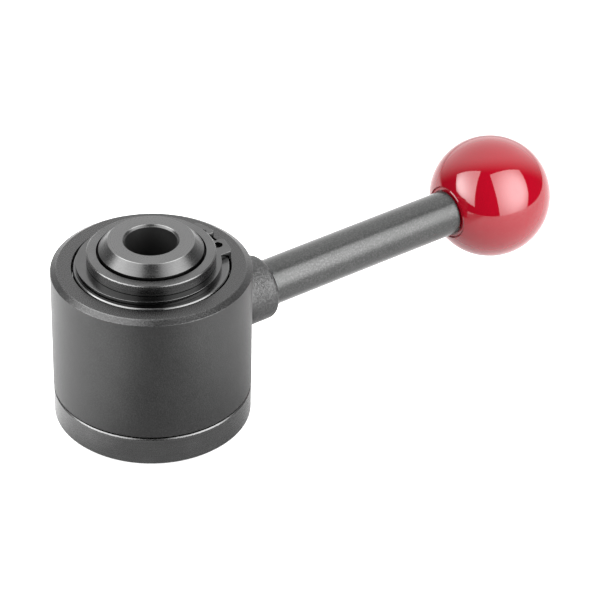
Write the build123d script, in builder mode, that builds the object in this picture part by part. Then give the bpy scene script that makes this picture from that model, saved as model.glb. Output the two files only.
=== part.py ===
from build123d import *
from math import asin, cos, degrees, pi, radians, sin, sqrt
import os

# A lever-operated pull clamp. A stud comes up through the middle bush and carries a nut on top.
# Swinging the lever turns the housing, whose inner cam sleeve lifts the bush and pulls the stud.
# Millimetres, +Z up, origin on the bore axis at the underside, lever along +X, bush down.

# Radii, from the bore outwards
bore_diameter = 13.0
bush_wall = 6.5
bush_running_gap = 0.05
sleeve_wall = 2.95
cam_running_gap = 0.05
cam_wall = 3.7
cam_seat_gap = 0.05
housing_wall = 5.2
base_step_in = 0.05

# Heights of the stack, from the underside up
base_height = 7.9
split_gap = 0.5
thrust_washer_thickness = 1.5
cam_length = 31.0
end_play = 0.1
support_washer_thickness = 2.5
washer_proud = 0.1
clip_thickness = 1.5
clip_side_gap = 0.1
sleeve_lip = 2.7
bush_shoulder = 0.6
cone_height = 2.5
cone_width = 2.3
bush_clearance_below = 0.3

# Small edges
base_edge = 0.6
base_top_edge = 0.3
housing_top_edge_width = 1.6
housing_top_edge_height = 0.95
housing_bottom_edge = 0.2
washer_edge = 0.3
washer_rim_gap = 0.45
washer_bore_gap = 0.1
sleeve_edge = 0.25
sleeve_mouth_relief = 0.55
sleeve_mouth_depth = 4.0
bore_edge = 0.55
inner_edge = 0.3

# Retaining ring
groove_depth = 0.85
clip_seat_gap = 0.05
clip_back_width = 3.55
clip_front_width = 2.0
lug_height = 5.0
lug_width = 6.0
lug_flank = 2.3
lug_hole_edge = 2.4
lug_hole_diameter = 2.5
lug_corner = 0.6
clip_gap = 3.4
clip_turn = -0.5

# Lift: the bush pins run in upright slots of the sleeve and helical slots of the cam sleeve
lever_swing = 90.0
bush_lift = 2.7
follower_count = 2
follower_angle = 45.0
follower_diameter = 8.0
follower_height = 21.0
follower_socket = 4.0
follower_tip_gap = 0.8
follower_slot_gap = 0.15
slot_end_relief = 0.2

# Boss, lever and ball
lever_height = 23.9
boss_diameter = 17.0
boss_length = 8.9
boss_rounding = 1.7
boss_root_fillet = 1.0
rod_diameter = 12.1
rod_socket_gap = 0.35
rod_socket_depth = 3.0
rod_show = 60.6
rod_edge = 0.4
lever_thread_diameter = 10.0
dog_diameter = 7.0
dog_gap = 0.1
dog_tip_gap = 0.6
ball_diameter = 32.7
ball_flat_diameter = 14.4
knob_thread_diameter = 8.0
knob_thread_length = 12.0
insert_wall = 1.6
insert_length = 14.0
insert_groove = 0.6

# Dowels between the cam sleeve and the housing
dowel_count = 2
dowel_angle = 100.0
dowel_diameter = 3.0
dowel_length = 12.0

# Radii that follow
bore_radius = bore_diameter / 2
bush_radius = bore_radius + bush_wall
sleeve_bore_radius = bush_radius + bush_running_gap
sleeve_radius = sleeve_bore_radius + sleeve_wall
cam_bore_radius = sleeve_radius + cam_running_gap
cam_radius = cam_bore_radius + cam_wall
housing_bore_radius = cam_radius + cam_seat_gap
housing_radius = housing_bore_radius + housing_wall
base_radius = housing_radius - base_step_in
washer_radius = housing_bore_radius - washer_rim_gap
washer_bore_radius = sleeve_radius + washer_bore_gap
groove_radius = sleeve_radius - groove_depth

# Heights that follow
cam_floor = base_height + thrust_washer_thickness
cam_top = cam_floor + cam_length
washer_floor = cam_top + end_play
washer_top = washer_floor + support_washer_thickness
housing_floor = base_height + split_gap
housing_top = washer_top - washer_proud
groove_top = washer_top + clip_thickness + clip_side_gap
sleeve_top = groove_top + sleeve_lip
bush_floor = bush_clearance_below
bush_cone_floor = sleeve_top + bush_shoulder
bush_top = bush_cone_floor + cone_height

# Places along the lever
boss_end = housing_radius + boss_length
rod_shoulder = boss_end - rod_socket_depth
rod_end = boss_end + rod_show
ball_radius = ball_diameter / 2
ball_flat_depth = sqrt(ball_radius**2 - (ball_flat_diameter / 2) ** 2)
ball_centre = rod_end + ball_flat_depth
dog_tip = cam_bore_radius + dog_tip_gap
dog_root = cam_radius
insert_radius = knob_thread_diameter / 2 + insert_wall

# Planes and axes that several pieces share
lever_axis = Axis((0, 0, lever_height), (1, 0, 0))
lever_section = Plane(origin=(0, 0, lever_height), x_dir=(1, 0, 0), z_dir=(0, -1, 0))
lever_across = Plane(origin=(0, 0, lever_height), x_dir=(0, 1, 0), z_dir=(1, 0, 0))
follower_angles = [follower_angle + i * 360 / follower_count for i in range(follower_count)]
dowel_angles = [dowel_angle + i * 360 / dowel_count for i in range(dowel_count)]


def radial_plane(angle, height):
    """A plane that looks straight out of the bore axis, with its local Y upright."""
    out = (cos(radians(angle)), sin(radians(angle)), 0)
    sideways = (-sin(radians(angle)), cos(radians(angle)), 0)
    return Plane(origin=(0, 0, height), x_dir=sideways, z_dir=out)


# Base flange and inner sleeve, turned from one bar
with BuildPart() as base_sleeve:
    with BuildSketch(Plane.XZ):
        with BuildLine():
            Polyline(
                (sleeve_bore_radius, 0),
                (base_radius, 0),
                (base_radius, base_height),
                (sleeve_radius, base_height),
                (sleeve_radius, washer_top),
                (groove_radius, washer_top),
                (groove_radius, groove_top),
                (sleeve_radius, groove_top),
                (sleeve_radius, sleeve_top),
                (sleeve_bore_radius + sleeve_mouth_relief, sleeve_top),
                (sleeve_bore_radius + sleeve_mouth_relief, sleeve_top - sleeve_mouth_depth),
                (sleeve_bore_radius, sleeve_top - sleeve_mouth_depth),
                close=True,
            )
        make_face()
    revolve(axis=Axis.Z)
    rims = base_sleeve.edges().filter_by(GeomType.CIRCLE)
    foot_rims = rims.filter_by_position(Axis.Z, -0.01, 0.01).sort_by(SortBy.RADIUS)
    flange_rims = rims.filter_by_position(Axis.Z, base_height - 0.01, base_height + 0.01)
    top_rims = rims.filter_by_position(Axis.Z, sleeve_top - 0.01, sleeve_top + 0.01)
    chamfer(foot_rims[-1], base_edge)
    chamfer(foot_rims[0], inner_edge)
    chamfer(flange_rims.sort_by(SortBy.RADIUS)[-1], base_top_edge)
    chamfer(top_rims.sort_by(SortBy.RADIUS)[-1], sleeve_edge)
    upright_slot_width = follower_diameter + 2 * follower_slot_gap
    upright_slot_height = upright_slot_width + bush_lift + 2 * slot_end_relief
    for angle in follower_angles:
        with BuildSketch(radial_plane(angle, follower_height + bush_lift / 2)):
            SlotOverall(upright_slot_height, upright_slot_width, rotation=90)
        extrude(amount=sleeve_radius + 1, mode=Mode.SUBTRACT)
base_sleeve.part.label = "base_sleeve"

# Bronze thrust washer on the flange
with BuildPart() as thrust_washer:
    with BuildSketch(Plane.XY.offset(base_height)):
        Circle(washer_radius)
        Circle(washer_bore_radius, mode=Mode.SUBTRACT)
    extrude(amount=thrust_washer_thickness)
thrust_washer.part.label = "thrust_washer"

# Support washer under the retaining ring
with BuildPart() as support_washer:
    with BuildSketch(Plane.XY.offset(washer_floor)):
        Circle(washer_radius)
        Circle(washer_bore_radius, mode=Mode.SUBTRACT)
    extrude(amount=support_washer_thickness)
    upper_rims = support_washer.faces().sort_by(Axis.Z)[-1].edges().sort_by(SortBy.RADIUS)
    chamfer(upper_rims[-1], washer_edge)
support_washer.part.label = "support_washer"

# Retaining ring: thicker at the back, thinner towards its two lugs
clip_inner_radius = groove_radius + clip_seat_gap
clip_ring_radius = clip_inner_radius + (clip_back_width + clip_front_width) / 2
clip_centre_shift = (clip_back_width - clip_front_width) / 2
lug_radius = groove_radius + lug_height
lug_hole_circle = groove_radius + lug_height / 2
lug_half_turn = degrees(asin((clip_gap / 2 + lug_width) / lug_radius))
lug_foot_turn = lug_half_turn + degrees(lug_flank / lug_radius)
lug_hole_turn = degrees(asin((clip_gap / 2 + lug_hole_edge) / lug_radius))
lug_foot_radius = clip_inner_radius + clip_front_width / 2


def polar(radius, angle):
    """A point at this radius and angle in the sketch."""
    return (radius * cos(radians(angle)), radius * sin(radians(angle)))


with BuildPart() as circlip:
    with BuildSketch(Plane.XY.offset(washer_top).rotated((0, 0, clip_turn))) as clip_face:
        with Locations((-clip_centre_shift, 0)):
            Circle(clip_ring_radius)
        with BuildLine():
            lug_arc = ThreePointArc(
                polar(lug_radius, -lug_half_turn),
                (lug_radius, 0),
                polar(lug_radius, lug_half_turn),
            )
            Polyline(
                lug_arc @ 1,
                polar(lug_foot_radius, lug_foot_turn),
                (clip_inner_radius / 2, 0),
                polar(lug_foot_radius, -lug_foot_turn),
                lug_arc @ 0,
            )
        make_face()
        Circle(clip_inner_radius, mode=Mode.SUBTRACT)
        with Locations((lug_radius, 0)):
            Rectangle(2 * lug_height + 2, clip_gap, mode=Mode.SUBTRACT)
        with PolarLocations(lug_hole_circle, 2, -lug_hole_turn, 2 * lug_hole_turn, endpoint=True):
            Circle(lug_hole_diameter / 2, mode=Mode.SUBTRACT)
        lug_points = clip_face.vertices().filter_by(
            lambda corner: Vector(corner.X, corner.Y, 0).length > lug_radius - lug_corner / 2
        )
        fillet(lug_points, lug_corner)
    extrude(amount=clip_thickness)
circlip.part.label = "circlip"

# Housing with its cast boss, tapped for the lever
with BuildPart() as housing:
    with BuildSketch(Plane.XY.offset(housing_floor)):
        Circle(housing_radius)
    extrude(amount=housing_top - housing_floor)
    outer_rims = housing.edges().filter_by(GeomType.CIRCLE).sort_by(Axis.Z)
    housing_top_face = housing.faces().sort_by(Axis.Z)[-1]
    chamfer(outer_rims[-1], housing_top_edge_width, housing_top_edge_height, reference=housing_top_face)
    chamfer(outer_rims[0], housing_bottom_edge)
    with BuildSketch(lever_section):
        with BuildLine():
            boss_line = Polyline(
                (0, 0),
                (0, boss_diameter / 2),
                (boss_end - boss_rounding, boss_diameter / 2),
            )
            boss_nose = RadiusArc(
                boss_line @ 1,
                (boss_end, boss_diameter / 2 - boss_rounding),
                boss_rounding,
            )
            Polyline(boss_nose @ 1, (boss_end, 0), (0, 0))
        make_face()
    revolve(axis=lever_axis)
    fillet(housing.edges().filter_by(GeomType.BSPLINE), boss_root_fillet)
    with BuildSketch(Plane.XY.offset(housing_floor)):
        Circle(housing_bore_radius)
    extrude(amount=housing_top - housing_floor, mode=Mode.SUBTRACT)
    with BuildSketch(lever_across):
        Circle(lever_thread_diameter / 2)
    extrude(amount=boss_end, mode=Mode.SUBTRACT)
    with BuildSketch(lever_across.offset(rod_shoulder)):
        Circle(rod_diameter / 2 + rod_socket_gap)
    extrude(amount=rod_socket_depth, mode=Mode.SUBTRACT)
    for angle in dowel_angles:
        with BuildSketch(Plane.XY.offset(cam_top - dowel_length)):
            with Locations(polar(cam_radius, angle)):
                Circle(dowel_diameter / 2)
        extrude(amount=dowel_length, mode=Mode.SUBTRACT)
housing.part.label = "housing"

# Helical slot cutter: a radial section carried up a helix, with a round relief at each end
cam_slot_width = follower_diameter + 2 * follower_slot_gap
cam_pitch = bush_lift * 360 / lever_swing
cam_middle_radius = (cam_bore_radius + cam_radius) / 2
slot_end_radius = cam_slot_width / 2 + slot_end_relief
with BuildPart() as helical_slot:
    with BuildLine():
        rise = Helix(cam_pitch, bush_lift, cam_middle_radius)
    with BuildSketch(Plane(origin=rise @ 0, x_dir=(1, 0, 0), z_dir=(0, 1, 0))):
        Rectangle(cam_wall + 2, cam_slot_width)
    sweep(path=rise, is_frenet=True)
    for angle, height in ((0, 0), (lever_swing, bush_lift)):
        with BuildSketch(radial_plane(angle, height).offset(cam_bore_radius - 1)):
            Circle(slot_end_radius)
        extrude(amount=cam_wall + 2)

# Cam sleeve inside the housing
with BuildPart() as cam_sleeve:
    with BuildSketch(Plane.XY.offset(cam_floor)):
        Circle(cam_radius)
        Circle(cam_bore_radius, mode=Mode.SUBTRACT)
    extrude(amount=cam_length)
    chamfer(cam_sleeve.edges().filter_by(GeomType.CIRCLE), inner_edge)
    for angle in follower_angles:
        cutter = helical_slot.part.rotate(Axis.Z, angle).translate((0, 0, follower_height))
        add(cutter, mode=Mode.SUBTRACT)
    with BuildSketch(lever_across):
        Circle(dog_diameter / 2 + dog_gap)
    extrude(amount=cam_radius + 1, mode=Mode.SUBTRACT)
    for angle in dowel_angles:
        with BuildSketch(Plane.XY.offset(cam_top - dowel_length)):
            with Locations(polar(cam_radius, angle)):
                Circle(dowel_diameter / 2)
        extrude(amount=dowel_length, mode=Mode.SUBTRACT)
cam_sleeve.part.label = "cam_sleeve"

# Dowels, half in the cam sleeve and half in the housing
dowels = []
for angle in dowel_angles:
    with BuildPart() as cam_dowel:
        with BuildSketch(Plane.XY.offset(cam_top - dowel_length)):
            with Locations(polar(cam_radius, angle)):
                Circle(dowel_diameter / 2)
        extrude(amount=dowel_length)
        chamfer(cam_dowel.edges().filter_by(GeomType.CIRCLE), inner_edge)
    cam_dowel.part.label = f"cam_dowel_{len(dowels) + 1}"
    dowels.append(cam_dowel)

# Draw bush with its cone, nut seat and blind pin sockets
with BuildPart() as draw_bush:
    with BuildSketch(Plane.XZ):
        with BuildLine():
            Polyline(
                (bore_radius, bush_floor),
                (bush_radius, bush_floor),
                (bush_radius, bush_cone_floor),
                (bush_radius - cone_width, bush_top),
                (bore_radius, bush_top),
                close=True,
            )
        make_face()
    revolve(axis=Axis.Z)
    bush_rims = draw_bush.edges().filter_by(GeomType.CIRCLE)
    bush_foot = bush_rims.group_by(Axis.Z)[0].sort_by(SortBy.RADIUS)
    bush_mouth = bush_rims.group_by(Axis.Z)[-1].sort_by(SortBy.RADIUS)
    chamfer(bush_foot, inner_edge)
    chamfer(bush_mouth[0], bore_edge)
    for angle in follower_angles:
        socket_floor = bush_radius - follower_socket
        with BuildSketch(radial_plane(angle, follower_height).offset(socket_floor)):
            Circle(follower_diameter / 2)
        extrude(amount=follower_socket + 1, mode=Mode.SUBTRACT)
draw_bush.part.label = "draw_bush"

# Follower pins
follower_tip = sqrt((cam_radius - follower_tip_gap) ** 2 - (follower_diameter / 2) ** 2)
followers = []
for angle in follower_angles:
    with BuildPart() as follower_pin:
        with BuildSketch(radial_plane(angle, follower_height).offset(socket_floor)):
            Circle(follower_diameter / 2)
        extrude(amount=follower_tip - socket_floor)
        chamfer(follower_pin.edges().filter_by(GeomType.CIRCLE), inner_edge)
    follower_pin.part.label = f"follower_pin_{len(followers) + 1}"
    followers.append(follower_pin)

# Lever rod: dog, threaded spigot, plain rod and threaded end for the knob
knob_spigot_end = rod_end + knob_thread_length
with BuildPart() as lever_rod:
    with BuildSketch(lever_section):
        with BuildLine():
            Polyline(
                (dog_tip, 0),
                (dog_tip, dog_diameter / 2 - inner_edge),
                (dog_tip + inner_edge, dog_diameter / 2),
                (dog_root, dog_diameter / 2),
                (dog_root + (lever_thread_diameter - dog_diameter) / 2, lever_thread_diameter / 2),
                (rod_shoulder, lever_thread_diameter / 2),
                (rod_shoulder, rod_diameter / 2),
                (rod_end - rod_edge, rod_diameter / 2),
                (rod_end, rod_diameter / 2 - rod_edge),
                (rod_end, knob_thread_diameter / 2),
                (knob_spigot_end - rod_edge, knob_thread_diameter / 2),
                (knob_spigot_end, knob_thread_diameter / 2 - rod_edge),
                (knob_spigot_end, 0),
                close=True,
            )
        make_face()
    revolve(axis=lever_axis)
lever_rod.part.label = "lever_rod"

# Brass insert with a retaining groove round its middle
insert_end = rod_end + insert_length
insert_middle = rod_end + insert_length / 2
with BuildPart() as knob_insert:
    with BuildSketch(lever_section):
        with BuildLine():
            Polyline(
                (rod_end, knob_thread_diameter / 2),
                (rod_end, insert_radius),
                (insert_middle - insert_groove, insert_radius),
                (insert_middle, insert_radius - insert_groove),
                (insert_middle + insert_groove, insert_radius),
                (insert_end, insert_radius),
                (insert_end, knob_thread_diameter / 2),
                close=True,
            )
        make_face()
    revolve(axis=lever_axis)
knob_insert.part.label = "knob_insert"

# Ball knob, moulded round the insert
with BuildPart() as ball_knob:
    with BuildSketch(lever_section):
        with BuildLine():
            ball_line = ThreePointArc(
                (rod_end, ball_flat_diameter / 2),
                (ball_centre, ball_radius),
                (ball_centre + ball_radius, 0),
            )
            Polyline(
                ball_line @ 1,
                (insert_end, 0),
                (insert_end, insert_radius),
                (insert_middle + insert_groove, insert_radius),
                (insert_middle, insert_radius - insert_groove),
                (insert_middle - insert_groove, insert_radius),
                (rod_end, insert_radius),
                ball_line @ 0,
            )
        make_face()
    revolve(axis=lever_axis)
ball_knob.part.label = "ball_knob"

pieces = [base_sleeve, thrust_washer, support_washer, circlip, housing, cam_sleeve, *dowels]
pieces += [draw_bush, *followers, lever_rod, knob_insert, ball_knob]
os.makedirs("parts", exist_ok=True)
for piece in pieces:
    export_step(piece.part, f"parts/{piece.part.label}.step")
    print(piece.part.label, round(piece.part.volume, 1))
print("lift per radian in metres", bush_lift / 1000 / (lever_swing * pi / 180))
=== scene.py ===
# %% [markdown]
# A lever-operated pull clamp in a plain studio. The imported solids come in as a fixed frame, in
# metres, with the bore upright on Z and the lever along +X. Everything below is dressed on it:
# black-oxide cast housing, turned steel hub, spring-steel retaining ring, satin rod, red ball.

# %% Load the clamp
from math import asin, cos, degrees, pi, radians, sin, sqrt
import bmesh
import bpy
from mathutils import Matrix, Vector


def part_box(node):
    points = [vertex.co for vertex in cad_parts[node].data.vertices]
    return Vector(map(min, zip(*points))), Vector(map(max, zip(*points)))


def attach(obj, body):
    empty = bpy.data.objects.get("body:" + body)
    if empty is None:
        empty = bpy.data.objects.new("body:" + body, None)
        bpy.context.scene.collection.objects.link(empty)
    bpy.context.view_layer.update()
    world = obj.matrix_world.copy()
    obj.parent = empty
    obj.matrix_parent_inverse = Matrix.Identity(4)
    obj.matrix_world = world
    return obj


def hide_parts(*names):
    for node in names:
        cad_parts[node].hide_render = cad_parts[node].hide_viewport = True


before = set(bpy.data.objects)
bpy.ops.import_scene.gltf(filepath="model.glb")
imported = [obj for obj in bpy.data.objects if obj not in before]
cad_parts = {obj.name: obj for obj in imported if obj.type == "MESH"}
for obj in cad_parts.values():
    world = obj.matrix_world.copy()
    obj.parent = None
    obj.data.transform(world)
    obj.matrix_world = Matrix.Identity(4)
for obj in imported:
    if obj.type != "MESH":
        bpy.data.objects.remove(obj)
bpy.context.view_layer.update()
print("pieces in the frame:", ", ".join(sorted(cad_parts)))

# %% [markdown]
# A lathe works from a few sizes, and so does this script. They are read from the boxes of the
# solids, so a changed clamp is dressed at its own size. Millimetres are easier to think in than
# metres for a part as small as this one, so one helper gives a node's box in millimetres.

# %% Sizes taken from the frame, in millimetres
MM = 0.001


def box_mm(node):
    """Lowest and highest corner of a solid, in millimetres."""
    low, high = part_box(node)
    return low / MM, high / MM


base_high = box_mm("base_sleeve")[1]
washer_high = box_mm("support_washer")[1]
bush_high = box_mm("draw_bush")[1]
cam_high = box_mm("cam_sleeve")[1]
housing_low, housing_high = box_mm("housing")
rod_low, rod_high = box_mm("lever_rod")
ball_low, ball_high = box_mm("ball_knob")
insert_low, insert_high = box_mm("knob_insert")
lever_height = (ball_low.z + ball_high.z) / 2
housing_radius = -housing_low.x
print(f"housing radius {housing_radius:.2f} mm, lever height {lever_height:.2f} mm")

# %% [markdown]
# The photograph looks down on the clamp from the side, with a long lens and almost no
# perspective. The camera is placed by the direction it looks in, the point it looks at and its
# distance, so each can be changed alone. The picture also leans by a degree or so, and a small
# roll about the line of sight gives that.

# %% Camera at the photograph's angle
camera_heading = radians(52.95)
camera_drop = radians(34.584)
camera_roll = radians(1.405)
camera_aim = Vector((0.03885, -0.00965, 0.02273))
camera_distance = 0.7261
camera_lens = 170.9
camera_sensor = 36.0
camera_near = 0.01

look = Vector((
    cos(camera_drop) * cos(camera_heading),
    cos(camera_drop) * sin(camera_heading),
    -sin(camera_drop),
))
level_right = look.cross(Vector((0, 0, 1))).normalized()
level_up = level_right.cross(look)
picture_right = cos(camera_roll) * level_right + sin(camera_roll) * level_up
picture_up = cos(camera_roll) * level_up - sin(camera_roll) * level_right

camera_data = bpy.data.cameras.new("photo_camera")
camera_data.lens = camera_lens
camera_data.sensor_width = camera_sensor
camera_data.sensor_fit = "HORIZONTAL"
camera_data.clip_start = camera_near
camera = bpy.data.objects.new("photo_camera", camera_data)
turn = Matrix((picture_right, picture_up, -look)).transposed().to_4x4()
camera.matrix_world = Matrix.Translation(camera_aim - camera_distance * look) @ turn
bpy.context.scene.collection.objects.link(camera)
bpy.context.scene.camera = camera
print("camera at", [round(value, 4) for value in camera.matrix_world.translation])

# %% [markdown]
# Product photographs on white are lit so hard that the table goes pure white. The Standard view
# transform keeps that white and the deep red as they are, where a filmic one would grey both.

# %% Tone of the picture
scene = bpy.context.scene
scene.view_settings.view_transform = "Standard"
scene.view_settings.look = "None"
print("view transform", scene.view_settings.view_transform)

# %% [markdown]
# The table is a pale sheet that stops a hand's breadth in front of the clamp. Its edge is out of
# the picture, but the ball shows it as the curve where the pale lower half ends, so a floor
# without an end would look wrong in the gloss. It lies square to the camera, which puts that
# curve where the photograph has it, so it is one face drawn from the camera's directions.

# %% Sheet of the floor
floor_front = 0.155
floor_back = 1.6
floor_left = 1.4
floor_right = 0.36

away = Vector((cos(camera_heading), sin(camera_heading), 0))
floor_corners = [
    level_right * floor_right - away * floor_front,
    level_right * floor_right + away * floor_back,
    -level_right * floor_left + away * floor_back,
    -level_right * floor_left - away * floor_front,
]
floor_mesh = bpy.data.meshes.new("floor")
floor_mesh.from_pydata(floor_corners, [], [range(len(floor_corners))])
floor = bpy.data.objects.new("floor", floor_mesh)
scene.collection.objects.link(floor)
print("floor faces", len(floor_mesh.polygons))

# %% [markdown]
# Nodes are written often from here on, so two short helpers make them: one adds a node with its
# settings and inputs, and one does a sum. An input may be a plain value or another node's
# output, which is then linked.

# %% Two helpers for nodes


def add_node(tree, kind, inputs=None, **settings):
    """Adds a node. An input given as a socket is linked, and any other value is set."""
    node = tree.nodes.new(kind)
    for name, value in settings.items():
        setattr(node, name, value)
    for name, value in (inputs or {}).items():
        if isinstance(value, bpy.types.NodeSocket):
            tree.links.new(value, node.inputs[name])
        else:
            node.inputs[name].default_value = value
    return node


def calculate(tree, operation, *values):
    """The output of a Math node on one, two or three values or sockets."""
    inputs = dict(enumerate(values))
    return add_node(tree, "ShaderNodeMath", inputs, operation=operation).outputs[0]


print("helpers add_node and calculate are ready")

# %% [markdown]
# The paper is not one tone all over, so its finish has to know where it is. Two more helpers say
# how far a place lies to one side or towards the back, and turn such a distance into a soft
# step. An image could be painted for this too, but a step can be moved by changing one number.

# %% Soft steps across the floor
paper = bpy.data.materials.new("pale_paper")
paper.use_nodes = True
paper_tree = paper.node_tree
paper_shader = paper_tree.nodes["Principled BSDF"]
paper_place = add_node(paper_tree, "ShaderNodeTexCoord").outputs["Object"]


def floor_reach(direction):
    """How far a place on the floor lies in that direction, in metres."""
    inputs = {0: paper_place, 1: direction}
    along = add_node(paper_tree, "ShaderNodeVectorMath", inputs, operation="DOT_PRODUCT")
    return along.outputs["Value"]


def soft_step(value, start, end):
    """Rises smoothly from nought to one between start and end."""
    inputs = {"Value": value, "From Min": start, "From Max": end}
    step = add_node(paper_tree, "ShaderNodeMapRange", inputs, interpolation_type="SMOOTHSTEP")
    return step.outputs[0]


print("paper started:", paper.name)

# %% [markdown]
# In front of the clamp the paper is painted duller, a patch of painted shade: black walls need
# something dark to mirror, or they turn flat and pale. A real card would show, so it is only a
# patch in the paper's tone, with soft sides. The camera sees the whole paper brighter than the
# clamp does, which fades the shadow as a retoucher would.

# %% Paper of the floor
paper_level = 0.60
paper_roughness = 0.7
paper_seen = 0.70
fibre_scale = 300.0
fibre_level = 0.03
painted_shade_level = 0.19
painted_shade_middle = 0.013
painted_shade_reach = 0.033
painted_shade_side_fade = 0.015
painted_shade_back_fade = 0.045

# The duller patch in front of the clamp is painted shade in the paper's tone.
sideways = calculate(paper_tree, "SUBTRACT", floor_reach(level_right), painted_shade_middle)
off_middle = calculate(paper_tree, "ABSOLUTE", sideways)
beside = soft_step(off_middle, painted_shade_reach - painted_shade_side_fade, painted_shade_reach + painted_shade_side_fade)
behind = soft_step(floor_reach(away), -painted_shade_back_fade, painted_shade_back_fade)
off_painted_shade = calculate(paper_tree, "MAXIMUM", beside, behind)
fibre_inputs = {"Vector": paper_place, "Scale": fibre_scale}
fibres = add_node(paper_tree, "ShaderNodeTexNoise", fibre_inputs).outputs[0]
paper_base = calculate(paper_tree, "MULTIPLY_ADD", off_painted_shade, paper_level - painted_shade_level, painted_shade_level)
paper_tone = calculate(paper_tree, "MULTIPLY_ADD", fibres, fibre_level, paper_base)
looked_at = add_node(paper_tree, "ShaderNodeLightPath").outputs["Is Camera Ray"]
paper_glow = calculate(paper_tree, "MULTIPLY", looked_at, paper_seen)
paper_tree.links.new(paper_tone, paper_shader.inputs["Base Color"])
paper_tree.links.new(paper_glow, paper_shader.inputs["Emission Strength"])
paper_shader.inputs["Emission Color"].default_value = (1, 1, 1, 1)
paper_shader.inputs["Roughness"].default_value = paper_roughness
floor_mesh.materials.append(paper)
print(paper.name, len(paper_tree.nodes), "nodes")

# %% [markdown]
# Glossy black metal is mostly a picture of the room. Here the room is dark, apart from a bright
# sweep behind and above the clamp, which whitens the rims and the flat tops. The camera sees
# plain white. A dot product with the sweep's direction is a soft round patch in the sky, which
# is easier to move about than another lamp.

# %% Surroundings
sweep_height = radians(35)
sweep_left = 0.05
sweep_aside = (away - sweep_left * level_right).normalized()
sweep_direction = sweep_aside * cos(sweep_height) + Vector((0, 0, sin(sweep_height)))
sweep_start = 0.34
sweep_full = 0.86
sweep_strength = 2.2
room_strength = 0.06

world = bpy.data.worlds.new("studio")
scene.world = world
world.use_nodes = True
sky = world.node_tree
sky.nodes.clear()
sky_place = add_node(sky, "ShaderNodeTexCoord").outputs["Generated"]
towards_sweep = add_node(
    sky,
    "ShaderNodeVectorMath",
    {0: sky_place, 1: sweep_direction},
    operation="DOT_PRODUCT",
)
sky_level = add_node(
    sky,
    "ShaderNodeMapRange",
    {
        "Value": towards_sweep.outputs["Value"],
        "From Min": sweep_start,
        "From Max": sweep_full,
        "To Min": room_strength,
        "To Max": sweep_strength,
    },
    interpolation_type="SMOOTHSTEP",
)
room = add_node(sky, "ShaderNodeBackground", {"Strength": sky_level.outputs[0]})
white = add_node(sky, "ShaderNodeBackground", {"Strength": 1.0})
for light in (room, white):
    light.inputs["Color"].default_value = (1, 1, 1, 1)
seen = add_node(sky, "ShaderNodeLightPath").outputs["Is Camera Ray"]
both = add_node(sky, "ShaderNodeMixShader", {0: seen, 1: room.outputs[0], 2: white.outputs[0]})
add_node(sky, "ShaderNodeOutputWorld", {"Surface": both.outputs[0]})
print("surroundings from", room_strength, "to", sweep_strength)

# %% [markdown]
# Two soft boxes stand on the camera's side, left and right of it, and lean over the clamp. The
# ball shows both as bright windows. The lamp inside a box sits behind the middle of its cloth,
# so the light fades towards the edges, and three nodes on the area light give that. An area
# light is chosen over a glowing plane because it makes far less noise.

# %% A soft box
cloth_middle = Vector((0.5, 0.5, 0))
fade_start = 0.1
fade_end = 0.65
middle_level = 1.25
corner_level = 0.5


def soft_box(name, place, facing, upright, width, height, brightness):
    """An area light of that brightness, in watts for each square metre and steradian."""
    back = -Vector(facing).normalized()
    side = Vector(upright).cross(back).normalized()
    top = back.cross(side)
    data = bpy.data.lights.new(name, "AREA")
    data.shape = "RECTANGLE"
    data.size = width
    data.size_y = height
    data.energy = brightness * pi * width * height
    data.use_nodes = True
    cloth = data.node_tree
    spot = add_node(cloth, "ShaderNodeNewGeometry").outputs["Parametric"]
    off_middle = add_node(
        cloth, "ShaderNodeVectorMath", {0: spot, 1: cloth_middle}, operation="DISTANCE"
    )
    fade = {
        "Value": off_middle.outputs["Value"],
        "From Min": fade_start,
        "From Max": fade_end,
        "To Min": middle_level,
        "To Max": corner_level,
    }
    level = add_node(cloth, "ShaderNodeMapRange", fade, interpolation_type="SMOOTHSTEP")
    cloth.links.new(level.outputs[0], cloth.nodes["Emission"].inputs["Strength"])
    lamp = bpy.data.objects.new(name, data)
    lamp.matrix_world = Matrix.Translation(place) @ Matrix((side, top, back)).transposed().to_4x4()
    lamp.visible_camera = False
    scene.collection.objects.link(lamp)
    print(name, f"{width:.2f} by {height:.2f} m, {data.energy:.1f} W")


print("cloth level from", middle_level, "to", corner_level)

# %% [markdown]
# Each box is given by its place, the way it faces and its upright edge, because a box on a stand
# leans in more ways than one. The numbers were found from the outlines of the two windows in
# the ball: the box on the right is almost twice as tall as the one on the left.

# %% The two soft boxes
soft_box(
    "left_box",
    place=(-0.292, 0.148, 0.238),
    facing=(0.207, 0.490, -0.847),
    upright=(0.774, 0.448, 0.448),
    width=0.593,
    height=0.370,
    brightness=11.2,
)
soft_box(
    "right_box",
    place=(0.244, -0.378, 0.239),
    facing=(0.157, 0.792, -0.590),
    upright=(0.098, 0.582, 0.807),
    width=0.607,
    height=0.700,
    brightness=9.8,
)

# %% [markdown]
# Every finish starts the same way: a Principled shader and the place on the piece in
# millimetres. Object coordinates are used throughout, because they stay with the piece when it
# is posed. Turned parts also need the distance from their axis, which is what a tool follows.

# %% Start of a finish


def start_finish(name):
    """A new material, its tree, its shader and the place in millimetres."""
    material = bpy.data.materials.new(name)
    material.use_nodes = True
    tree = material.node_tree
    shader = tree.nodes["Principled BSDF"]
    metres = add_node(tree, "ShaderNodeTexCoord").outputs["Object"]
    place = add_node(tree, "ShaderNodeVectorMath", {0: metres, "Scale": 1 / MM}, operation="SCALE")
    return material, tree, shader, place.outputs["Vector"]


def part_of(tree, vector, axis):
    """The X, Y or Z of a vector."""
    return add_node(tree, "ShaderNodeSeparateXYZ", {0: vector}).outputs[axis]


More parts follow.
